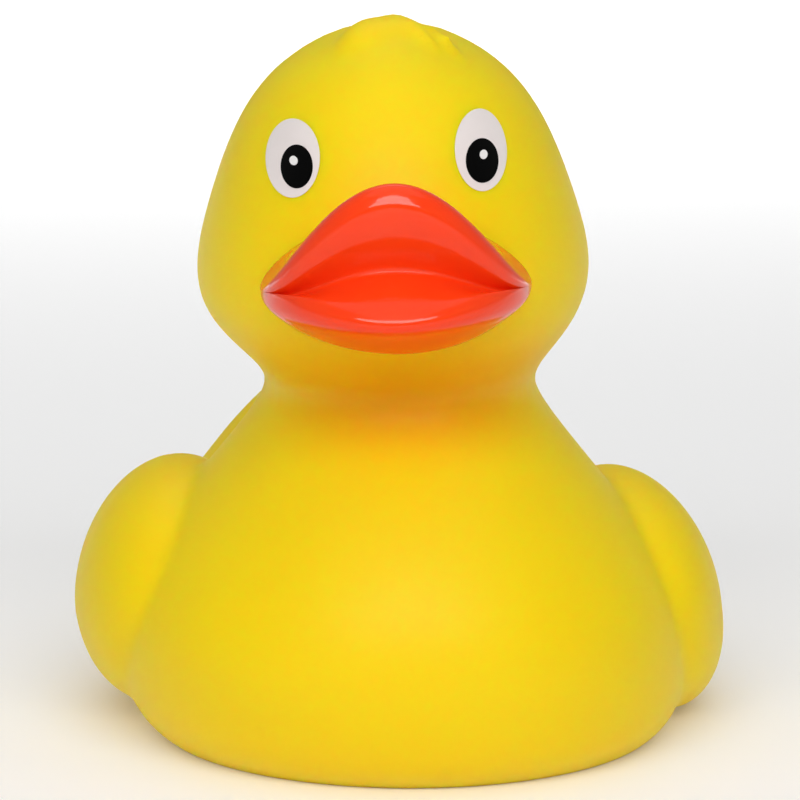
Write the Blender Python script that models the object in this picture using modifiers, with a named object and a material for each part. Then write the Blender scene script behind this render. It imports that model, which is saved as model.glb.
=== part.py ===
"""Rubber duck: a hollow moulded vinyl bath toy with a squeaker plug in its base.

Metres, +Z up. The duck faces -Y and stands on z = 0, with its left wing at +X.
"""

import math

import bmesh
import bpy
from mathutils import Matrix, Vector

MM = 0.001

# The stations below are measured from the neck. This moves them all so that the
# origin is under the middle of the duck's overall width and length.
TO_CENTRE = Vector((-0.65, -3.0, 0.0))

# Driving dimensions of the moulding, in millimetres.
WALL = 2.2
FLOOR_WALL = 4.0
OUTER_VOXEL = 3.0
INNER_VOXEL = 4.6
OUTER_ROUNDS = 1
INNER_ROUNDS = 1

# Bust: height, half width, front, back of each level section, base to crown.
BUST = (
    (-2.0, 25.0, -26.0, 30.0),
    (0.6, 29.0, -31.5, 35.0),
    (4.0, 31.4, -35.2, 37.8),
    (10.0, 32.2, -37.4, 39.2),
    (16.0, 30.9, -37.2, 38.0),
    (22.0, 27.4, -34.8, 33.0),
    (28.0, 22.8, -30.4, 25.0),
    (33.0, 18.7, -26.0, 17.0),
    (37.0, 15.7, -22.4, 12.4),
    (39.8, 14.4, -20.8, 11.0),
    (42.4, 16.7, -22.4, 12.4),
    (46.0, 20.2, -25.6, 14.8),
    (50.0, 21.9, -27.6, 16.2),
    (54.6, 21.7, -28.4, 16.2),
    (60.0, 20.1, -27.8, 15.0),
    (65.0, 18.4, -26.2, 12.8),
    (70.0, 16.0, -23.4, 9.6),
    (74.0, 12.7, -19.8, 6.2),
    (77.0, 8.3, -15.4, 1.8),
    (78.8, 3.8, -10.8, -2.8),
)
BUST_CROWN = 79.2
CROWN_Y = -6.5

# Stern: distance back, half width, underside, top of each upright section.
STERN = (
    (4.0, 20.0, 6.0, 26.0),
    (14.0, 25.0, 3.6, 28.0),
    (24.0, 25.6, 3.0, 29.4),
    (32.0, 22.4, 5.0, 31.4),
    (38.0, 18.6, 10.0, 33.6),
    (42.4, 14.0, 17.0, 35.4),
    (45.4, 9.0, 23.6, 36.6),
)
STERN_TIP = (47.4, 31.5)
STERN_SQUARE = 0.8
STERN_TIP_WALL = 1.4

# Wings: centre and half sizes, and how far their tops lean in over the back. A
# second, slimmer form draws each one out to its raised tip.
WING_CENTRE = (26.4, 9.0, 14.1)
WING_SHIFT = 0.5
WING_HALF = (10.0, 22.0, 14.0)
WING_LEAN = math.radians(17)
LEFT_WING_DROP = 1.0
WING_CLEAR = 0.5
WING_TIP_CENTRE = (25.2, 20.5, 14.4)
WING_TIP_HALF = (7.6, 16.0, 9.6)
WING_TIP_RISE = math.radians(9)

# The soft moulding is a little uneven: the keel lies to one side, and the head sits
# turned and to the other.
KEEL_TOP = 12.0
KEEL_SHIFT = 0.9
NECK_TURN = (36.0, 50.0)
HEAD_TURN = math.radians(-4.5)
HEAD_SHIFT = -0.8
HEAD_TILT = math.radians(-1.2)
HEAD_AXIS = Vector((0.0, -3.0, 42.0))

# Crest on the crown: centre and half sizes of each lock, how far it dips to the
# front, and its turn about the upright axis.
CREST_LOCKS = (
    ((-1.7, -9.4, 77.0), (3.8, 5.2, 2.7), math.radians(16), math.radians(-20)),
    ((0.9, -7.8, 77.3), (2.9, 5.0, 2.7), math.radians(14), math.radians(10)),
    ((2.9, -9.6, 77.9), (0.9, 4.2, 1.6), math.radians(24), math.radians(36)),
    ((5.0, -8.6, 77.3), (0.8, 3.8, 1.6), math.radians(22), math.radians(46)),
)

# Bill: the mouth's corner and how far the bill sits off the middle, the range over
# which the mouth closes into its corner, then points round the middle section:
# distance forward, height, how soon the height falls off towards the corner, and how
# much it rises again half-way there.
BILL_CORNER = (14.4, -21.2, 52.8)
BILL_SHIFT = 0.35
MOUTH_FRONT = -41.0
MOUTH_BACK = -33.0
BILL_MIDDLE = (
    (-22.0, 60.0, 0.66, 0.0),
    (-28.0, 61.0, 0.66, 0.0),
    (-32.6, 63.0, 0.95, 0.0),
    (-35.8, 65.0, 1.15, 0.0),
    (-37.7, 66.0, 1.25, 0.0),
    (-39.1, 65.4, 1.3, 0.0),
    (-39.5, 64.3, 1.3, 0.0),
    (-40.0, 63.3, 1.35, 0.0),
    (-38.8, 60.3, 1.35, -0.3),
    (-36.6, 58.0, 1.3, -0.6),
    (-35.4, 56.5, 1.2, -0.8),
    (-36.0, 56.0, 1.2, -0.8),
    (-38.2, 54.7, 1.4, 0.1),
    (-40.0, 53.1, 1.5, 1.0),
    (-40.6, 52.1, 1.0, 0.9),
    (-41.0, 51.3, 0.7, 0.5),
    (-40.3, 50.2, 0.5, 0.2),
    (-37.0, 49.0, 0.5, 0.0),
    (-32.0, 47.2, 0.6, 0.0),
    (-28.0, 46.1, 0.68, 0.0),
    (-22.0, 46.8, 0.68, 0.0),
)
BILL_ACROSS = 20

# Squeaker plug, its reed, its hole and the recess that keeps its flange off the ground.
PLUG_GAP = 0.3
PLUG_RADIUS = 5.7
FLANGE_RADIUS = 7.4
FLANGE_THICK = 1.2
BARB_RADIUS = 6.6
CHAMBER_RADIUS = 4.5
AIR_RADIUS = 1.3
PLUG_TOP = 12.6
REED_THICK = 0.8
REED_TUBE_TOP = 5.0
REED_TUBE_FOOT = 1.1
REED_TUBE_TIP = 0.9
CASE_BEVEL = 0.7
CASE_END_WALL = 1.4
CASE_FOOT_WALL = 0.4
BARB_RISE = 0.6
BARB_LENGTH = 1.8
BARB_UNDERCUT = 0.2
PLUG_Y = 2.0
CUT_BELOW = -1.0
CUT_ABOVE = 4.0
GROUND_SIZE = (200.0, 200.0, 10.0)
TURN_STEPS = 32

YELLOW = (0.91, 0.70, 0.04)
WHITE = (0.82, 0.82, 0.79)
CLEAR = (0.72, 0.74, 0.76)


def clear_scene():
    for item in list(bpy.data.objects):
        bpy.data.objects.remove(item, do_unlink=True)


def new_collection(name):
    collection = bpy.data.collections.new(name)
    bpy.context.scene.collection.children.link(collection)
    return collection


def new_material(name, colour, roughness):
    material = bpy.data.materials.new(name)
    material.use_nodes = True
    shader = material.node_tree.nodes["Principled BSDF"]
    shader.inputs["Base Color"].default_value = (*colour, 1.0)
    shader.inputs["Roughness"].default_value = roughness
    shader.inputs["Metallic"].default_value = 0.0
    return material


def settle_point(point):
    """Turns and moves what is above the neck, and moves the keel."""
    low, high = NECK_TURN
    point = point.copy()
    point.x += KEEL_SHIFT * min(max(1 - point.z / KEEL_TOP, 0.0), 1.0)
    share = min(max((point.z - low) / (high - low), 0.0), 1.0)
    share = share * share * (3 - 2 * share)
    turn = Matrix.Rotation(HEAD_TURN * share, 3, "Z") @ Matrix.Rotation(HEAD_TILT * share, 3, "Y")
    moved = turn @ (point - HEAD_AXIS) + HEAD_AXIS
    moved.x += HEAD_SHIFT * share
    return moved


def new_object(name, bm, collection, settle=False):
    mesh = bpy.data.meshes.new(name)
    if settle:
        for vert in bm.verts:
            vert.co = settle_point(vert.co / MM) * MM
    bmesh.ops.recalc_face_normals(bm, faces=bm.faces[:])
    bm.to_mesh(mesh)
    bm.free()
    piece = bpy.data.objects.new(name, mesh)
    collection.objects.link(piece)
    return piece


def guide(piece):
    """A form that only cuts or joins another one."""
    piece.hide_render = True
    piece.display_type = "WIRE"
    return piece


def close_rings(bm, rings, first, last):
    """Skin a row of rings, with a pole at each end."""
    count = len(rings[0])
    for lower, upper in zip(rings, rings[1:]):
        for i in range(count):
            j = (i + 1) % count
            bm.faces.new((lower[i], lower[j], upper[j], upper[i]))
    for pole, ring in ((first, rings[0]), (last, rings[-1])):
        vert = bm.verts.new(Vector(pole) * MM)
        for i in range(count):
            bm.faces.new((ring[i], ring[(i + 1) % count], vert))


def add_bust(bm, inset, segments=28):
    """Head, neck and hull: level sections whose fronts and backs differ."""
    rings = []
    for height, half, front, back in BUST:
        if inset and not FLOOR_WALL <= height <= BUST_CROWN - inset:
            continue
        ring = []
        for i in range(segments):
            angle = 2 * math.pi * i / segments
            reach = (back if math.sin(angle) > 0 else -front) - inset
            x = (half - inset) * math.cos(angle)
            ring.append(bm.verts.new((x * MM, reach * math.sin(angle) * MM, height * MM)))
        rings.append(ring)
    floor = FLOOR_WALL if inset else BUST[0][0]
    close_rings(bm, rings, (0, 0, floor), (0, CROWN_Y, BUST_CROWN - inset))


def squared(ratio):
    """Sine or cosine of a section whose corners are fuller than an ellipse's."""
    return math.copysign(abs(ratio) ** STERN_SQUARE, ratio)


def add_stern(bm, inset, segments=24):
    """Back and tail: upright sections that rise to the tail's tip."""
    floor = FLOOR_WALL if inset else 0.0
    rings = []
    for back, half, bottom, top in STERN:
        middle = (top + bottom) / 2
        ring = []
        for i in range(segments):
            angle = 2 * math.pi * i / segments
            x = (half - inset) * squared(math.cos(angle))
            z = middle + ((top - bottom) / 2 - inset) * squared(math.sin(angle))
            ring.append(bm.verts.new(Vector((x, back - inset, max(z, floor))) * MM))
        rings.append(ring)
    start = (0, STERN[0][0] - inset - 1, (STERN[0][2] + STERN[0][3]) / 2)
    close_rings(bm, rings, start, (0, STERN_TIP[0] - STERN_TIP_WALL * inset, STERN_TIP[1]))


def add_ellipsoid(bm, centre, half, pitch=0.0, lean=0.0, turn=0.0, segments=24, rings=14):
    size = Matrix.Diagonal((*(Vector(half) * MM), 1.0))
    tilt = Matrix.Rotation(turn, 4, "Z") @ Matrix.Rotation(lean, 4, "Y")
    tilt = tilt @ Matrix.Rotation(pitch, 4, "X")
    place = Matrix.Translation(Vector(centre) * MM) @ tilt @ size
    return bmesh.ops.create_uvsphere(
        bm, u_segments=segments, v_segments=rings, radius=1.0, matrix=place,
    )["verts"]


def add_wings(bm, inset):
    for side in (-1, 1):
        drop = LEFT_WING_DROP if side > 0 else -LEFT_WING_DROP
        for centre, half, rise in (
            (WING_CENTRE, WING_HALF, 0.0),
            (WING_TIP_CENTRE, WING_TIP_HALF, WING_TIP_RISE),
        ):
            x, y, z = centre
            place = (side * x + WING_SHIFT, y, z - drop)
            size = [length - inset for length in half]
            for vert in add_ellipsoid(bm, place, size, rise, -side * WING_LEAN):
                vert.co.z = max(vert.co.z, WING_CLEAR * MM)


def build_forms(name, inset, collection):
    """The duck's overlapping forms, at full size or drawn in by the wall."""
    bm = bmesh.new()
    add_bust(bm, inset)
    add_stern(bm, inset)
    add_wings(bm, inset)
    if not inset:
        for centre, half, pitch, turn in CREST_LOCKS:
            add_ellipsoid(bm, centre, half, pitch, turn=turn)
    return new_object(name, bm, collection, settle=True)


def bill_point(across, middle):
    """Where a point of the middle section lies on the way to the mouth's corner."""
    corner_x, corner_y, corner_z = BILL_CORNER
    forward, height, fall, rise = middle
    left = 1 - across * across
    if forward < MOUTH_BACK:
        forward += (MOUTH_FRONT - forward) * across ** 8
    y = corner_y + (forward - corner_y) * left ** 0.5
    z = corner_z + (height - corner_z) * left ** fall + 4 * rise * left * across * across
    return Vector((corner_x * across + BILL_SHIFT, y, z)) * MM


def build_bill(collection):
    """Open spoon-shaped bill: curled upper edge, palate, and rolled lower lip."""
    bm = bmesh.new()
    rings = []
    for i in range(1, BILL_ACROSS):
        across = math.sin(math.pi * (i / BILL_ACROSS - 0.5))
        rings.append([bm.verts.new(bill_point(across, middle)) for middle in BILL_MIDDLE])
    x, y, z = BILL_CORNER
    close_rings(bm, rings, (-x, y, z), (x, y, z))
    return guide(new_object("bill_form", bm, collection, settle=True))


def build_cylinder(name, radius, bottom, top, collection):
    bm = bmesh.new()
    place = Matrix.Translation(Vector((0, PLUG_Y, (bottom + top) / 2)) * MM)
    bmesh.ops.create_cone(
        bm, cap_ends=True, segments=TURN_STEPS, radius1=radius * MM, radius2=radius * MM,
        depth=(top - bottom) * MM, matrix=place,
    )
    return guide(new_object(name, bm, collection))


def build_ground(collection):
    """Everything under the flat base."""
    bm = bmesh.new()
    size = Vector(GROUND_SIZE) * MM
    place = Matrix.Translation((0, 0, -size.z / 2)) @ Matrix.Diagonal((*size, 1.0))
    bmesh.ops.create_cube(bm, size=1.0, matrix=place)
    return guide(new_object("ground", bm, collection))


def add_boolean(piece, operation, other):
    cut = piece.modifiers.new(other.name, "BOOLEAN")
    cut.operation = operation
    cut.object = other
    cut.solver = "EXACT"


def add_remesh(piece, voxel, rounds):
    remesh = piece.modifiers.new("one_skin", "REMESH")
    remesh.mode = "VOXEL"
    remesh.voxel_size = voxel * MM
    smooth = piece.modifiers.new("soft_joins", "SMOOTH")
    smooth.factor = 0.5
    smooth.iterations = rounds


def build_body(parts, cutters):
    body = build_forms("duck_body", 0.0, parts)
    add_remesh(body, OUTER_VOXEL, OUTER_ROUNDS)
    add_boolean(body, "UNION", build_bill(cutters))
    hollow = guide(build_forms("hollow", WALL, cutters))
    add_remesh(hollow, INNER_VOXEL, INNER_ROUNDS)
    add_boolean(body, "DIFFERENCE", hollow)
    add_boolean(body, "DIFFERENCE", build_ground(cutters))
    radius = PLUG_RADIUS + PLUG_GAP
    hole = build_cylinder("plug_hole", radius, CUT_BELOW, FLOOR_WALL + CUT_ABOVE, cutters)
    add_boolean(body, "DIFFERENCE", hole)
    depth = FLANGE_THICK + 2 * PLUG_GAP
    recess = build_cylinder("flange_recess", FLANGE_RADIUS + PLUG_GAP, CUT_BELOW, depth, cutters)
    add_boolean(body, "DIFFERENCE", recess)
    body.data.materials.append(new_material("yellow_vinyl", YELLOW, 0.45))
    return body


def build_turned(name, profile, material, collection):
    """A profile of radius and height, turned about the plug's axis."""
    bm = bmesh.new()
    verts = [bm.verts.new((radius * MM, 0, height * MM)) for radius, height in profile]
    for start, end in zip(verts, verts[1:] + verts[:1]):
        bm.edges.new((start, end))
    mesh = bpy.data.meshes.new(name)
    bm.to_mesh(mesh)
    bm.free()
    piece = bpy.data.objects.new(name, mesh)
    collection.objects.link(piece)
    piece.location = (0, PLUG_Y * MM, 0)
    turn = piece.modifiers.new("turn", "SCREW")
    turn.steps = TURN_STEPS
    turn.render_steps = TURN_STEPS
    turn.use_merge_vertices = True
    turn.merge_threshold = 0.00001
    mesh.materials.append(material)
    return piece


def build_squeaker(parts):
    flange_top = PLUG_GAP + FLANGE_THICK
    foot = flange_top + CASE_FOOT_WALL
    roof = PLUG_TOP - CASE_END_WALL
    barb = FLOOR_WALL + 2 * PLUG_GAP + BARB_RISE
    case = (
        (AIR_RADIUS, PLUG_TOP), (PLUG_RADIUS - CASE_BEVEL, PLUG_TOP),
        (PLUG_RADIUS, PLUG_TOP - CASE_BEVEL), (PLUG_RADIUS, barb + BARB_LENGTH),
        (BARB_RADIUS, barb), (PLUG_RADIUS, barb - BARB_UNDERCUT),
        (PLUG_RADIUS, flange_top), (FLANGE_RADIUS, flange_top), (FLANGE_RADIUS, PLUG_GAP),
        (AIR_RADIUS, PLUG_GAP), (AIR_RADIUS, foot), (CHAMBER_RADIUS, foot),
        (CHAMBER_RADIUS, roof), (AIR_RADIUS, roof),
    )
    build_turned("squeaker_case", case, new_material("white_polythene", WHITE, 0.4), parts)
    low = foot + PLUG_GAP
    high = low + REED_THICK
    radius = CHAMBER_RADIUS - PLUG_GAP
    reed = (
        (AIR_RADIUS, low + REED_TUBE_TOP), (AIR_RADIUS + REED_TUBE_TIP, low + REED_TUBE_TOP),
        (AIR_RADIUS + REED_TUBE_FOOT, high), (radius, high), (radius, low), (AIR_RADIUS, low),
    )
    build_turned("squeaker_reed", reed, new_material("clear_styrene", CLEAR, 0.25), parts)


def main():
    clear_scene()
    parts = new_collection("rubber_duck")
    cutters = new_collection("cutters")
    body = build_body(parts, cutters)
    build_squeaker(parts)
    for piece in bpy.data.objects:
        piece.location += TO_CENTRE * MM
    for piece in parts.objects:
        piece.data.shade_smooth()
    body.data.set_sharp_from_angle(angle=math.radians(40))


main()
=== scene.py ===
"""Rubber duck: moulded vinyl body, lacquered bill, printed eyes and a squeaker plug."""

import math

import bpy
from mathutils import Matrix, Vector


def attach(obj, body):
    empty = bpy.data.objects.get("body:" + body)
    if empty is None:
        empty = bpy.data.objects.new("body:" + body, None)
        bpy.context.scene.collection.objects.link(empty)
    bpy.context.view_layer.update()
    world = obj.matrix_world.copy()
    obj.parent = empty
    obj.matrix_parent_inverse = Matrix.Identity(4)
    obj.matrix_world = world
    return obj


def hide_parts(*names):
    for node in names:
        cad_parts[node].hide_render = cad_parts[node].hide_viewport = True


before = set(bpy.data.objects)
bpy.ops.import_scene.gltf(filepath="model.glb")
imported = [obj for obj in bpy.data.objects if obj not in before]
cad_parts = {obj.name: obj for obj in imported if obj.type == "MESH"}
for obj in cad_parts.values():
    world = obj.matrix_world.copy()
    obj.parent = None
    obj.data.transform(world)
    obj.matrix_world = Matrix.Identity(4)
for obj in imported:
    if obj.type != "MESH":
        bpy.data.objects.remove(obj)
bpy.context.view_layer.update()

MM = 0.001

# ---------------------------------------------------------------- dimensions, mm

# The stations are measured from the neck, and this moves them into the frame.
TO_CENTRE = Vector((-0.65, -3.0, 0.0))
WALL = 2.2
FLOOR_WALL = 4.0
OUTER_VOXEL = 0.75
INNER_VOXEL = 1.8
OUTER_ROUNDS = 6
INNER_ROUNDS = 3

# How finely the forms are laid out, before they run together.
RING_POINTS = 32
BLOB_RINGS = 20
FORM_LEVELS = 2

# Head, neck and hull: height, half width, front and back of each level ring.
BUST = (
    (-2.0, 25.0, -26.0, 30.0),
    (0.6, 29.0, -31.5, 35.0),
    (4.0, 31.4, -35.2, 37.8),
    (10.0, 32.2, -37.4, 39.2),
    (16.0, 30.9, -37.2, 38.0),
    (22.0, 27.4, -34.8, 33.0),
    (28.0, 22.8, -30.4, 25.0),
    (33.0, 18.7, -26.0, 17.0),
    (37.0, 15.7, -22.4, 12.4),
    (39.8, 14.4, -20.8, 11.0),
    (42.4, 16.7, -22.4, 12.4),
    (46.0, 20.2, -25.6, 14.8),
    (50.0, 21.9, -27.6, 16.2),
    (54.6, 21.7, -28.4, 16.2),
    (60.0, 20.1, -27.8, 15.0),
    (65.0, 18.4, -26.2, 12.8),
    (70.0, 16.0, -23.4, 9.6),
    (74.0, 12.7, -19.8, 6.2),
    (77.0, 8.3, -15.4, 1.8),
    (78.8, 3.8, -10.8, -2.8),
)
BUST_CROWN = 79.2
CROWN_Y = -6.5

# Back and tail: distance back, half width, underside and top of each ring.
STERN = (
    (4.0, 20.0, 6.0, 26.0),
    (14.0, 25.0, 3.6, 28.0),
    (24.0, 25.6, 3.0, 29.4),
    (32.0, 22.4, 5.0, 31.4),
    (38.0, 18.6, 10.0, 33.6),
    (42.4, 14.0, 17.0, 35.4),
    (45.4, 9.0, 23.6, 36.6),
)
STERN_TIP = (47.4, 31.5)
STERN_SQUARE = 0.8
STERN_TIP_WALL = 1.4

# The soft moulding is a little uneven: the keel lies to one side, and the head sits
# turned and to the other.
KEEL_TOP = 12.0
KEEL_SHIFT = 0.9
NECK_TURN = (36.0, 50.0)
HEAD_TURN = math.radians(-4.5)
HEAD_SHIFT = -0.8
HEAD_TILT = math.radians(-1.2)
HEAD_AXIS = Vector((0.0, -3.0, 42.0))

# Wings: centre and half sizes, and how far their tops lean in over the back. A
# second, slimmer form draws each one out to its raised tip.
WING_CENTRE = (26.4, 9.0, 14.1)
WING_SHIFT = 0.5
WING_HALF = (10.0, 22.0, 14.0)
WING_LEAN = math.radians(17)
LEFT_WING_DROP = 1.0
WING_CLEAR = 0.5
WING_TIP_CENTRE = (25.2, 20.5, 14.4)
WING_TIP_HALF = (7.6, 16.0, 9.6)
WING_TIP_RISE = math.radians(9)

# Crest on the crown: centre and half sizes of each lock, how far it dips to the
# front, and its turn about the upright axis.
CREST_LOCKS = (
    ((-1.7, -9.4, 77.0), (3.8, 5.2, 2.7), math.radians(16), math.radians(-20)),
    ((0.9, -7.8, 77.3), (2.9, 5.0, 2.7), math.radians(14), math.radians(10)),
    ((2.9, -9.6, 77.9), (0.9, 4.2, 1.6), math.radians(24), math.radians(36)),
    ((5.0, -8.6, 77.3), (0.8, 3.8, 1.6), math.radians(22), math.radians(46)),
)

# Bill: the mouth's corner and how far the bill sits off the middle. Whatever stands
# forward of MOUTH_BACK is drawn out to MOUTH_FRONT, and mostly near the corner.
BILL_CORNER = (14.4, -21.2, 52.8)
BILL_SHIFT = 0.35
MOUTH_FRONT = -41.0
MOUTH_BACK = -33.0
MOUTH_DRAW = 8
BILL_ROUND = 0.5

# Points round the bill's middle section: distance forward, height, how soon the
# height falls off towards the corner, and how much it rises again half-way there.
BILL_MIDDLE = (
    (-22.0, 60.0, 0.66, 0.0),
    (-28.0, 61.0, 0.66, 0.0),
    (-32.6, 63.0, 0.95, 0.0),
    (-35.8, 65.0, 1.15, 0.0),
    (-37.7, 66.0, 1.25, 0.0),
    (-39.1, 65.4, 1.3, 0.0),
    (-39.5, 64.3, 1.3, 0.0),
    (-40.0, 63.3, 1.35, 0.0),
    (-38.8, 60.3, 1.35, -0.3),
    (-36.6, 58.0, 1.3, -0.6),
    (-35.4, 56.5, 1.2, -0.8),
    (-36.0, 56.0, 1.2, -0.8),
    (-38.2, 54.7, 1.4, 0.1),
    (-40.0, 53.1, 1.5, 1.0),
    (-40.6, 52.1, 1.0, 0.9),
    (-41.0, 51.3, 0.7, 0.5),
    (-40.3, 50.2, 0.5, 0.2),
    (-37.0, 49.0, 0.5, 0.0),
    (-32.0, 47.2, 0.6, 0.0),
    (-28.0, 46.1, 0.68, 0.0),
    (-22.0, 46.8, 0.68, 0.0),
)
BILL_ACROSS = 28
BILL_LEVELS = 3

# Squeaker plug, its hole and the recess that keeps its flange off the ground.
PLUG_Y = 2.0
PLUG_GAP = 0.3
PLUG_RADIUS = 5.7
PLUG_TOP = 12.6
FLANGE_RADIUS = 7.4
FLANGE_TOP = 1.5
FLANGE_EDGE = 0.35
DISH_RADIUS = 3.4
DISH_DEPTH = 0.35
AIR_RADIUS = 1.3
CHAMBER_RADIUS = 4.5
CHAMBER_FLOOR = 1.9
CHAMBER_ROOF = 11.2
RECESS_DEPTH = 1.8
CUT_BELOW = -1.0
CUT_ABOVE = 4.0
ROUND_SIDES = 96
EDGE_STEPS = 3
CREASE = math.radians(40)

# Eyes: how far the white's top leans, then the centre, half width and half height
# of the white, the pupil and the glint.
EYES = {
    "left": (math.radians(-3.4), {
        "white": ((9.9, 66.77), (2.95, 4.04)),
        "pupil": ((9.9, 65.75), (1.85, 2.2)),
        "glint": ((10.06, 66.33), (0.44, 0.46)),
    }),
    "right": (math.radians(11.7), {
        "white": ((-9.93, 66.28), (2.62, 3.93)),
        "pupil": ((-9.57, 65.53), (1.56, 2.19)),
        "glint": ((-9.83, 66.09), (0.4, 0.46)),
    }),
}
PRINT_LIFT = {"white": 0.05, "pupil": 0.09, "glint": 0.13}
PRINT_THICK = 0.05
FACE_Y = -24.0
PRINT_FROM_Y = -45.0
OVAL_SIDES = 64
OVAL_RINGS = 12
OVAL_STEP = 0.082
OVAL_CREASE = math.radians(50)


# ---------------------------------------------------------------- modelling tools

def settle_point(point):
    """Turns and moves what is above the neck, and moves the keel."""
    low, high = NECK_TURN
    point = point.copy()
    point.x += KEEL_SHIFT * min(max(1 - point.z / KEEL_TOP, 0.0), 1.0)
    share = min(max((point.z - low) / (high - low), 0.0), 1.0)
    share = share * share * (3 - 2 * share)
    turn = Matrix.Rotation(HEAD_TURN * share, 3, "Z") @ Matrix.Rotation(HEAD_TILT * share, 3, "Y")
    moved = turn @ (point - HEAD_AXIS) + HEAD_AXIS
    moved.x += HEAD_SHIFT * share
    return moved


def settle_piece(piece):
    """Brings a piece from the layout to its place in the frame."""
    for vert in piece.data.vertices:
        vert.co = (settle_point(vert.co / MM) + TO_CENTRE) * MM


def activate(piece):
    bpy.ops.object.select_all(action="DESELECT")
    piece.select_set(True)
    bpy.context.view_layer.objects.active = piece


def edit_all(piece):
    """Opens a piece in edit mode with all of it selected."""
    activate(piece)
    bpy.ops.object.mode_set(mode="EDIT")
    bpy.ops.mesh.select_all(action="SELECT")


def take_name(name):
    """Names the piece that was just added or joined."""
    piece = bpy.context.view_layer.objects.active
    piece.name = name
    piece.data.name = name
    return piece


def apply_place(piece):
    activate(piece)
    bpy.ops.object.transform_apply(location=True, rotation=True, scale=True)


def apply_modifier(piece, name, kind, **settings):
    modifier = piece.modifiers.new(name, kind)
    for key, value in settings.items():
        setattr(modifier, key, value)
    activate(piece)
    bpy.ops.object.modifier_apply(modifier=name)


def rings_along(piece, axis):
    """A sphere's rings of points from one pole to the other, along an axis."""
    levels = {}
    for vert in piece.data.vertices:
        levels.setdefault(round(vert.co[axis], 5), []).append(vert.index)
    return [levels[level] for level in sorted(levels)]


def add_ball(name, segments, rings):
    """A ball of radius 1 that the stations then pull into shape."""
    bpy.ops.object.select_all(action="DESELECT")
    bpy.ops.mesh.primitive_uv_sphere_add(segments=segments, ring_count=rings, radius=1.0)
    return take_name(name)


def join_pieces(name, pieces):
    activate(pieces[0])
    for piece in pieces:
        piece.select_set(True)
    bpy.ops.object.join()
    return take_name(name)


# ---------------------------------------------------------------- the moulding's forms

def make_bust(inset):
    """A ball whose rings are pulled out to the head, neck and hull."""
    sections = [row for row in BUST if not inset or FLOOR_WALL <= row[0] <= BUST_CROWN - inset]
    piece = add_ball("bust", RING_POINTS, len(sections) + 1)
    rings = rings_along(piece, 2)
    floor = FLOOR_WALL if inset else BUST[0][0]
    heights = [floor] + [row[0] for row in sections] + [BUST_CROWN - inset]
    for index, ring in enumerate(rings):
        here = [piece.data.vertices[i].co.copy() for i in ring]
        radius = max(co.xy.length for co in here)
        for i, co in zip(ring, here):
            if index in (0, len(rings) - 1):
                y = CROWN_Y if index else 0.0
                new = Vector((0.0, y, heights[index]))
            else:
                height, half, front, back = sections[index - 1]
                reach = (back if co.y > 0 else -front) - inset
                new = Vector((co.x / radius * (half - inset), co.y / radius * reach, height))
            piece.data.vertices[i].co = new * MM
    return piece


def squared(ratio):
    """Fills out the stern's round sections towards square ones."""
    return math.copysign(abs(ratio) ** STERN_SQUARE, ratio)


def make_stern(inset):
    """A ball on its side whose rings are pulled out to the back and tail."""
    piece = add_ball("stern", RING_POINTS, len(STERN) + 1)
    piece.rotation_euler = (math.radians(-90), 0, 0)
    apply_place(piece)
    rings = rings_along(piece, 1)
    floor = FLOOR_WALL if inset else 0.0
    for index, ring in enumerate(rings):
        for i in ring:
            co = piece.data.vertices[i].co.copy()
            if index == 0:
                new = Vector((0, STERN[0][0] - inset - 1, (STERN[0][2] + STERN[0][3]) / 2))
            elif index == len(rings) - 1:
                new = Vector((0, STERN_TIP[0] - STERN_TIP_WALL * inset, STERN_TIP[1]))
            else:
                back, half, bottom, top = STERN[index - 1]
                radius = math.hypot(co.x, co.z)
                x = (half - inset) * squared(co.x / radius)
                z = (top + bottom) / 2 + ((top - bottom) / 2 - inset) * squared(co.z / radius)
                new = Vector((x, back - inset, max(z, floor)))
            piece.data.vertices[i].co = new * MM
    return piece


def make_ellipsoid(name, centre, half, pitch=0.0, lean=0.0, turn=0.0):
    bpy.ops.object.select_all(action="DESELECT")
    bpy.ops.mesh.primitive_uv_sphere_add(
        segments=RING_POINTS, ring_count=BLOB_RINGS, radius=1.0,
        location=Vector(centre) * MM, rotation=(pitch, lean, turn), scale=Vector(half) * MM,
    )
    piece = take_name(name)
    apply_place(piece)
    return piece


def make_wings(inset):
    """Both wings and their raised tips, kept clear of the ground."""
    wings = []
    for side in (-1, 1):
        drop = LEFT_WING_DROP if side > 0 else -LEFT_WING_DROP
        for name, centre, half, rise in (
            ("wing", WING_CENTRE, WING_HALF, 0.0),
            ("wing_tip", WING_TIP_CENTRE, WING_TIP_HALF, WING_TIP_RISE),
        ):
            x, y, z = centre
            place = (side * x + WING_SHIFT, y, z - drop)
            size = [length - inset for length in half]
            wing = make_ellipsoid(name, place, size, rise, -side * WING_LEAN)
            for vert in wing.data.vertices:
                vert.co.z = max(vert.co.z, WING_CLEAR * MM)
            wings.append(wing)
    return wings


def make_skin(name, inset, voxel, rounds):
    """All the forms run together into one soft-jointed skin."""
    forms = [make_bust(inset), make_stern(inset)] + make_wings(inset)
    if not inset:
        for centre, half, pitch, turn in CREST_LOCKS:
            forms.append(make_ellipsoid("crest_lock", centre, half, pitch, turn=turn))
    for form in forms:
        apply_modifier(form, "round", "SUBSURF", levels=FORM_LEVELS, render_levels=FORM_LEVELS)
    skin = join_pieces(name, forms)
    settle_piece(skin)
    apply_modifier(skin, "one_skin", "REMESH", mode="VOXEL", voxel_size=voxel * MM)
    apply_modifier(skin, "soft_joins", "SMOOTH", factor=0.5, iterations=rounds)
    return skin


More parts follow.
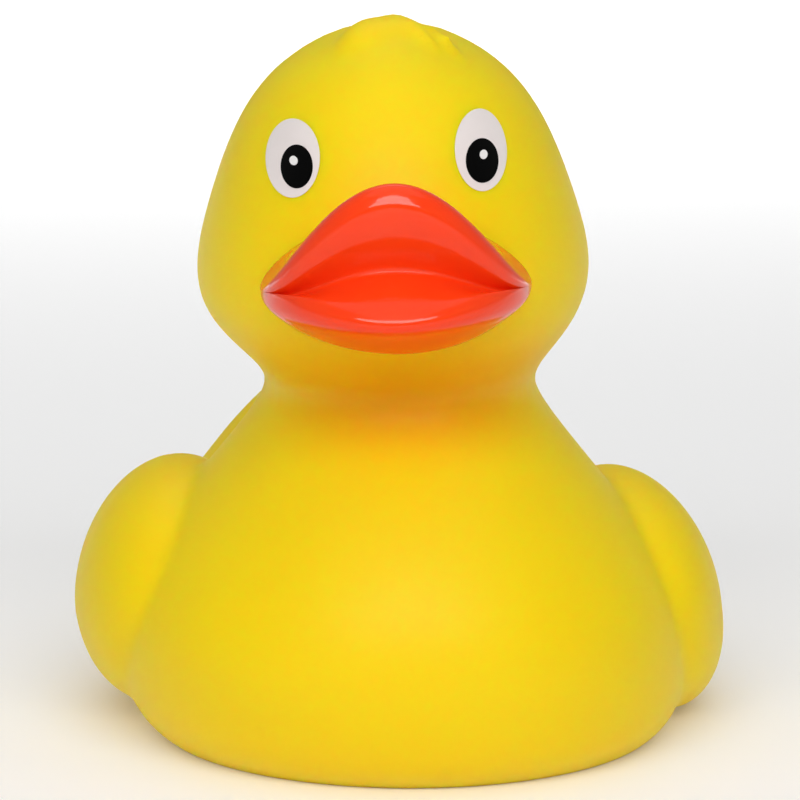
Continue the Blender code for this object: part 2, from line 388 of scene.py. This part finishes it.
def add_cylinder(name, radius, bottom, top):
    """An upright cylinder on the squeaker's axis."""
    bpy.ops.object.select_all(action="DESELECT")
    bpy.ops.mesh.primitive_cylinder_add(
        vertices=ROUND_SIDES, radius=radius * MM, depth=(top - bottom) * MM,
        location=Vector((TO_CENTRE.x, PLUG_Y + TO_CENTRE.y, (top + bottom) / 2)) * MM,
    )
    piece = take_name(name)
    apply_place(piece)
    return piece


def cut_away(piece, cutter):
    apply_modifier(piece, "cut", "BOOLEAN", operation="DIFFERENCE", object=cutter, solver="EXACT")
    bpy.data.objects.remove(cutter, do_unlink=True)


def make_body():
    """The hollow moulding, cut flat underneath and opened for the squeaker."""
    body = make_skin("duck_moulding", 0.0, OUTER_VOXEL, OUTER_ROUNDS)
    edit_all(body)
    bpy.ops.mesh.bisect(plane_co=(0, 0, 0), plane_no=(0, 0, 1), use_fill=True, clear_inner=True)
    bpy.ops.object.mode_set(mode="OBJECT")
    hollow = make_skin("hollow", WALL, INNER_VOXEL, INNER_ROUNDS)
    edit_all(hollow)
    bpy.ops.mesh.flip_normals()
    bpy.ops.object.mode_set(mode="OBJECT")
    body = join_pieces("duck_moulding", [body, hollow])
    hole_top = FLOOR_WALL + CUT_ABOVE
    cut_away(body, add_cylinder("plug_hole", PLUG_RADIUS + PLUG_GAP, CUT_BELOW, hole_top))
    recess = add_cylinder("flange_recess", FLANGE_RADIUS + PLUG_GAP, CUT_BELOW, RECESS_DEPTH)
    cut_away(body, recess)
    activate(body)
    bpy.ops.object.shade_smooth_by_angle(angle=CREASE)
    return body


def make_case():
    """The squeaker's pressed-in case: round-edged flange, dished air hole, chamber."""
    flange = add_cylinder("flange", FLANGE_RADIUS, PLUG_GAP, FLANGE_TOP)
    apply_modifier(flange, "edge", "BEVEL", width=FLANGE_EDGE * MM, segments=EDGE_STEPS)
    case = add_cylinder("squeaker_case_moulding", PLUG_RADIUS, FLANGE_TOP - FLANGE_EDGE, PLUG_TOP)
    apply_modifier(case, "edge", "BEVEL", width=FLANGE_EDGE * MM, segments=EDGE_STEPS)
    apply_modifier(case, "one", "BOOLEAN", operation="UNION", object=flange, solver="EXACT")
    bpy.data.objects.remove(flange, do_unlink=True)
    cut_away(case, add_cylinder("dish", DISH_RADIUS, CUT_BELOW, PLUG_GAP + DISH_DEPTH))
    cut_away(case, add_cylinder("chamber", CHAMBER_RADIUS, CHAMBER_FLOOR, CHAMBER_ROOF))
    cut_away(case, add_cylinder("air_hole", AIR_RADIUS, CUT_BELOW, PLUG_TOP - CUT_BELOW))
    activate(case)
    bpy.ops.object.shade_smooth_by_angle(angle=CREASE)
    return case


# ---------------------------------------------------------------- the bill

def bill_point(across, middle):
    """Where a point of the middle section lies on the way to the mouth's corner."""
    corner_x, corner_y, corner_z = BILL_CORNER
    forward, height, fall, rise = middle
    left = 1 - across * across
    if forward < MOUTH_BACK:
        forward += (MOUTH_FRONT - forward) * across ** MOUTH_DRAW
    y = corner_y + (forward - corner_y) * left ** BILL_ROUND
    z = corner_z + (height - corner_z) * left ** fall + 4 * rise * left * across * across
    return Vector((corner_x * across + BILL_SHIFT, y, z)) * MM


def make_bill():
    """A ball on its side, drawn out to the curled upper edge, palate and lower lip."""
    piece = add_ball("bill", len(BILL_MIDDLE), BILL_ACROSS)
    piece.rotation_euler = (0, math.radians(90), 0)
    apply_place(piece)
    verts = piece.data.vertices
    for index, ring in enumerate(rings_along(piece, 0)):
        across = math.sin(math.pi * (index / BILL_ACROSS - 0.5))
        around = [(math.atan2(verts[i].co.z, verts[i].co.y), i) for i in ring]
        for (_, i), middle in zip(sorted(around, reverse=True), BILL_MIDDLE):
            verts[i].co = bill_point(across, middle)
    edit_all(piece)
    bpy.ops.mesh.normals_make_consistent(inside=False)
    bpy.ops.object.mode_set(mode="OBJECT")
    apply_modifier(piece, "round", "SUBSURF", levels=BILL_LEVELS, render_levels=BILL_LEVELS)
    settle_piece(piece)
    bpy.ops.object.shade_smooth()
    return piece


# ---------------------------------------------------------------- the printed eyes

def print_spot(name, centre, half, tilt, lift, body):
    """A thin oval of ink that lies on the face of the moulding."""
    here = settle_point(Vector((centre[0], FACE_Y, centre[1]))) + TO_CENTRE
    bpy.ops.object.select_all(action="DESELECT")
    bpy.ops.mesh.primitive_circle_add(
        vertices=OVAL_SIDES, radius=1.0, fill_type="NGON",
        location=(here.x * MM, PRINT_FROM_Y * MM, here.z * MM),
        rotation=(math.radians(90), 0, 0),
    )
    spot = take_name(name)
    edit_all(spot)
    for _ in range(OVAL_RINGS):
        bpy.ops.mesh.inset(thickness=OVAL_STEP, depth=0)
    bpy.ops.object.mode_set(mode="OBJECT")
    spot.scale = (half[0] * MM, half[1] * MM, 1.0)
    spot.rotation_euler = (math.radians(90), tilt, 0)
    apply_place(spot)
    apply_modifier(
        spot, "lay", "SHRINKWRAP", target=body, wrap_method="PROJECT", use_project_x=False,
        use_project_y=True, use_project_z=False, use_negative_direction=True,
        use_positive_direction=True, offset=lift * MM, wrap_mode="ABOVE_SURFACE",
    )
    apply_modifier(spot, "ink", "SOLIDIFY", thickness=PRINT_THICK * MM, offset=-1.0)
    bpy.ops.object.shade_smooth_by_angle(angle=OVAL_CREASE)
    return spot


def make_eyes(body):
    """Each print of both eyes, with the ink that it is printed in."""
    spots = []
    for side, (tilt, prints) in EYES.items():
        for ink, (centre, half) in prints.items():
            spot = print_spot(f"eye_{ink}_{side}", centre, half, tilt, PRINT_LIFT[ink], body)
            spots.append((spot, ink))
    return spots


# ---------------------------------------------------------------- finishes

# Painted shade in the hollow under the bill, in mm: its middle, how much shorter its reach is
# along each axis, where the painted orange shade starts to fade and has gone, and how strong it
# is.
PAINTED_SHADE_CENTRE = Vector((-0.65, -22.0, 41.5))
PAINTED_SHADE_STRETCH = Vector((0.55, 0.8, 1.65))
PAINTED_SHADE_NEAR = 2.0
PAINTED_SHADE_FAR = 16.5
PAINTED_SHADE_STRENGTH = 0.7

# Patterns, in cells to the metre. Pigment drifts over 14 mm in the vinyl, 8 mm in the
# lacquer, 3.3 mm in the polythene, 4 mm in the styrene and 1.1 mm in the ink. The mould
# leaves a grain of 0.4 mm on the vinyl and 0.25 mm on the polythene. Both grains are
# finer on the real surfaces, and are drawn this coarse so that they show.
VINYL_DRIFT = 70.0
VINYL_GRAIN = 2500.0
LACQUER_DRIFT = 120.0
POLYTHENE_DRIFT = 300.0
POLYTHENE_GRAIN = 4000.0
STYRENE_DRIFT = 250.0
INK_DRIFT = 900.0
ACRYLIC_DRIFT = 400.0

# How far each grain stands up, in mm.
VINYL_GRAIN_HEIGHT = 0.04
POLYTHENE_GRAIN_HEIGHT = 0.03

INK_THIN = 0.97


def linear(code):
    """An sRGB hex colour as linear red, green, blue and alpha."""
    values = [int(code[i:i + 2], 16) / 255 for i in (1, 3, 5)]
    return (*[v / 12.92 if v <= 0.04045 else ((v + 0.055) / 1.055) ** 2.4 for v in values], 1.0)


def add_node(material, kind, settings=None, links=None):
    """Adds a node, sets its properties or input values, and links its inputs."""
    node = material.node_tree.nodes.new(kind)
    for key, value in (settings or {}).items():
        if isinstance(key, str) and hasattr(node, key):
            setattr(node, key, value)
        else:
            node.inputs[key].default_value = value
    for key, source in (links or {}).items():
        material.node_tree.links.new(source, node.inputs[key])
    return node


def new_material(name, **values):
    """A material whose shader has the given input values, and that shader."""
    material = bpy.data.materials.new(name)
    material.use_nodes = True
    shader = material.node_tree.nodes["Principled BSDF"]
    for key, value in values.items():
        shader.inputs[key.replace("_", " ")].default_value = value
    return material, shader


def mottle(material, place, drift, low, high, detail=2.0):
    """A colour that drifts between two close tones, as pigment does in one batch."""
    cloud = add_node(
        material, "ShaderNodeTexNoise", {"Scale": drift, "Detail": detail}, {"Vector": place})
    tone = add_node(material, "ShaderNodeValToRGB", links={"Fac": cloud.outputs["Fac"]})
    tone.color_ramp.elements[0].color = low
    tone.color_ramp.elements[1].color = high
    return tone.outputs["Color"]


def vinyl_finish():
    """Rotation-moulded soft PVC: satin and a little see-through, with a fine matt grain.

    Painted shade deepens its yellow to orange in the hollow under the bill.
    """
    material, shader = new_material(
        "soft_yellow_vinyl", Roughness=0.48, IOR=1.45, Specular_IOR_Level=0.18,
        Subsurface_Weight=0.8, Subsurface_Scale=0.003, Subsurface_Radius=(1.0, 0.22, 0.04),
    )
    place = add_node(material, "ShaderNodeTexCoord").outputs["Object"]
    yellow = mottle(material, place, VINYL_DRIFT, linear("#f6cf0a"), linear("#f8d50d"), 3.0)
    # Painted shade: an orange tint that grows towards the hollow under the bill.
    spread = add_node(
        material, "ShaderNodeVectorMath", {"operation": "MULTIPLY", 1: PAINTED_SHADE_STRETCH}, {0: place})
    reach = add_node(
        material, "ShaderNodeVectorMath",
        {"operation": "DISTANCE", 1: PAINTED_SHADE_CENTRE * PAINTED_SHADE_STRETCH * MM}, {0: spread.outputs["Vector"]},
    )
    depth = add_node(
        material, "ShaderNodeMapRange",
        {"interpolation_type": "SMOOTHSTEP", "From Min": PAINTED_SHADE_NEAR * MM,
         "From Max": PAINTED_SHADE_FAR * MM, "To Min": PAINTED_SHADE_STRENGTH, "To Max": 0.0},
        {"Value": reach.outputs["Value"]},
    )
    # Mixes the painted orange shade into the yellow.
    hollow = add_node(
        material, "ShaderNodeMixRGB", {"Color2": linear("#ee9003")},
        {"Fac": depth.outputs["Result"], "Color1": yellow},
    )
    material.node_tree.links.new(hollow.outputs["Color"], shader.inputs["Base Color"])
    grain = add_node(
        material, "ShaderNodeTexNoise", {"Scale": VINYL_GRAIN, "Detail": 2.0}, {"Vector": place})
    bump = add_node(
        material, "ShaderNodeBump", {"Strength": 0.12, "Distance": VINYL_GRAIN_HEIGHT * MM},
        {"Height": grain.outputs["Fac"]},
    )
    material.node_tree.links.new(bump.outputs["Normal"], shader.inputs["Normal"])
    return material


def lacquer_finish():
    """Sprayed gloss lacquer on vinyl: clear red-orange with wet-looking highlights."""
    material, shader = new_material(
        "red_orange_lacquer", Roughness=0.2, IOR=1.5, Subsurface_Weight=0.2,
        Subsurface_Scale=0.0015, Subsurface_Radius=(1.0, 0.25, 0.05),
        Specular_IOR_Level=0.1, Coat_Weight=0.45, Coat_Roughness=0.05,
    )
    place = add_node(material, "ShaderNodeTexCoord").outputs["Object"]
    red = mottle(material, place, LACQUER_DRIFT, linear("#f23a0c"), linear("#f84312"))
    material.node_tree.links.new(red, shader.inputs["Base Color"])
    return material


def polythene_finish():
    """Injection-moulded polythene: milky white, waxy, with a faint sparked texture."""
    material, shader = new_material(
        "white_polythene", Roughness=0.42, IOR=1.5, Specular_IOR_Level=0.4,
        Subsurface_Weight=0.3, Subsurface_Scale=0.001, Subsurface_Radius=(1.0, 0.9, 0.8),
    )
    place = add_node(material, "ShaderNodeTexCoord").outputs["Object"]
    white = mottle(material, place, POLYTHENE_DRIFT, linear("#e6e6df"), linear("#ecece6"))
    material.node_tree.links.new(white, shader.inputs["Base Color"])
    spark = add_node(material, "ShaderNodeTexNoise", {"Scale": POLYTHENE_GRAIN}, {"Vector": place})
    bump = add_node(
        material, "ShaderNodeBump", {"Strength": 0.15, "Distance": POLYTHENE_GRAIN_HEIGHT * MM},
        {"Height": spark.outputs["Fac"]},
    )
    material.node_tree.links.new(bump.outputs["Normal"], shader.inputs["Normal"])
    return material


def styrene_finish():
    """Clear styrene: hard, glassy, and only a little grey in its thick parts."""
    material, shader = new_material(
        "clear_styrene", Roughness=0.12, IOR=1.59, Transmission_Weight=0.85)
    place = add_node(material, "ShaderNodeTexCoord").outputs["Object"]
    clear = mottle(material, place, STYRENE_DRIFT, linear("#dfe3e6"), linear("#e8ebed"))
    material.node_tree.links.new(clear, shader.inputs["Base Color"])
    return material


def ink_finish(name, colour, roughness, sheen=0.2):
    """Pad-printed ink: an even film with a soft sheen."""
    material, shader = new_material(name, Roughness=roughness, Specular_IOR_Level=sheen)
    place = add_node(material, "ShaderNodeTexCoord").outputs["Object"]
    full = linear(colour)
    thin = tuple(value * INK_THIN for value in full[:3]) + (1.0,)
    film = mottle(material, place, INK_DRIFT, thin, full)
    material.node_tree.links.new(film, shader.inputs["Base Color"])
    return material


# ---------------------------------------------------------------- stage, light, camera

# Where the camera looks and how far off it stands, in mm, and its lens.
CAMERA_TARGET = Vector((-0.65, -3.0, 36.6))
CAMERA_DISTANCE = 520.0
CAMERA_HEIGHT_ANGLE = math.radians(10)
CAMERA_SIDE_ANGLE = math.radians(-4.5)
CAMERA_LENS = 211.0
CAMERA_NEAR = 0.01

# Light from the room, and where round from the front it changes.
ROOM_FRONT = 0.12
ROOM_AROUND = 0.26
ROOM_FADE = (-0.95, -0.35)

FLOOR_SIZE = 6.0
FLOOR_GLOW = 0.1

# Each light's place, aim and size in metres, its watts and how many degrees it spreads.
# The last one lights the floor behind the duck, and not the duck.
SOFTBOXES = {
    "front_softbox": ((-0.04, -0.54, 0.40), (0, -0.01, 0.04), (0.95, 0.19), 3.15, 180),
    "top_softbox": ((0.0, -0.12, 0.60), (0, 0, 0.04), (1.0, 0.8), 1.1, 180),
    "backdrop_light": ((0, 1.5, 0.9), (0, 1.5, 0), (3.2, 1.9), 26.0, 95),
}


def make_camera():
    data = bpy.data.cameras.new("camera")
    data.lens = CAMERA_LENS
    data.clip_start = CAMERA_NEAR
    camera = bpy.data.objects.new("camera", data)
    bpy.context.scene.collection.objects.link(camera)
    flat = math.cos(CAMERA_HEIGHT_ANGLE)
    away = Vector((
        flat * math.sin(CAMERA_SIDE_ANGLE), -flat * math.cos(CAMERA_SIDE_ANGLE),
        math.sin(CAMERA_HEIGHT_ANGLE),
    ))
    camera.location = (CAMERA_TARGET + away * CAMERA_DISTANCE) * MM
    camera.rotation_euler = (-away).to_track_quat("-Z", "Y").to_euler()
    bpy.context.scene.camera = camera


def add_softbox(name, place, aim, size, power, spread):
    """An oval area light at a place, turned to its aim."""
    data = bpy.data.lights.new(name, "AREA")
    data.shape = "ELLIPSE"
    data.size, data.size_y = size
    data.energy = power
    data.spread = math.radians(spread)
    lamp = bpy.data.objects.new(name, data)
    bpy.context.scene.collection.objects.link(lamp)
    lamp.location = place
    lamp.rotation_euler = (Vector(aim) - Vector(place)).to_track_quat("-Z", "Y").to_euler()


def light_room(world):
    """Pale room light from the sides, back and ceiling, and less from the front."""
    ways = add_node(world, "ShaderNodeTexCoord").outputs["Generated"]
    parts = add_node(world, "ShaderNodeSeparateXYZ", links={"Vector": ways})
    strength = add_node(
        world, "ShaderNodeMapRange",
        {"From Min": ROOM_FADE[0], "From Max": ROOM_FADE[1],
         "To Min": ROOM_FRONT, "To Max": ROOM_AROUND},
        {"Value": parts.outputs["Y"]},
    )
    background = world.node_tree.nodes["Background"]
    world.node_tree.links.new(strength.outputs["Result"], background.inputs["Strength"])
    background.inputs["Color"].default_value = linear("#ffffff")


def acrylic_finish():
    """Frosted white acrylic lit from below: matt, and a little brighter than its light."""
    material, shader = new_material(
        "lit_white_acrylic", Roughness=0.9, Emission_Color=linear("#ffffff"),
        Emission_Strength=FLOOR_GLOW,
    )
    place = add_node(material, "ShaderNodeTexCoord").outputs["Object"]
    white = mottle(material, place, ACRYLIC_DRIFT, linear("#f2f2f2"), linear("#f6f6f6"))
    material.node_tree.links.new(white, shader.inputs["Base Color"])
    return material


def make_stage():
    """The floor, the room's light and the softboxes."""
    bpy.ops.object.select_all(action="DESELECT")
    bpy.ops.mesh.primitive_plane_add(size=FLOOR_SIZE)
    floor = take_name("floor")
    floor.data.materials.append(acrylic_finish())
    world = bpy.data.worlds.new("studio")
    world.use_nodes = True
    light_room(world)
    bpy.context.scene.world = world
    bpy.context.scene.view_settings.view_transform = "Standard"
    for name, settings in SOFTBOXES.items():
        add_softbox(name, *settings)


# ---------------------------------------------------------------- assembly

def finish_piece(piece, material, node=None):
    """Gives a piece its material and its place in the frame."""
    piece.data.materials.clear()
    piece.data.materials.append(material)
    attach(piece, "root")
    if node:
        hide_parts(node)


def main():
    make_camera()
    make_stage()
    body = make_body()
    finish_piece(body, vinyl_finish(), "duck_body")
    finish_piece(make_bill(), lacquer_finish())
    inks = {
        "white": ink_finish("white_pad_ink", "#e4dbd8", 0.35),
        "pupil": ink_finish("black_pad_ink", "#020202", 0.3, 0.08),
        "glint": ink_finish("glint_pad_ink", "#e6e4e2", 0.35),
    }
    for spot, ink in make_eyes(body):
        finish_piece(spot, inks[ink])
    finish_piece(make_case(), polythene_finish(), "squeaker_case")
    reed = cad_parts["squeaker_reed"]
    reed.data.materials.clear()
    reed.data.materials.append(styrene_finish())


main()
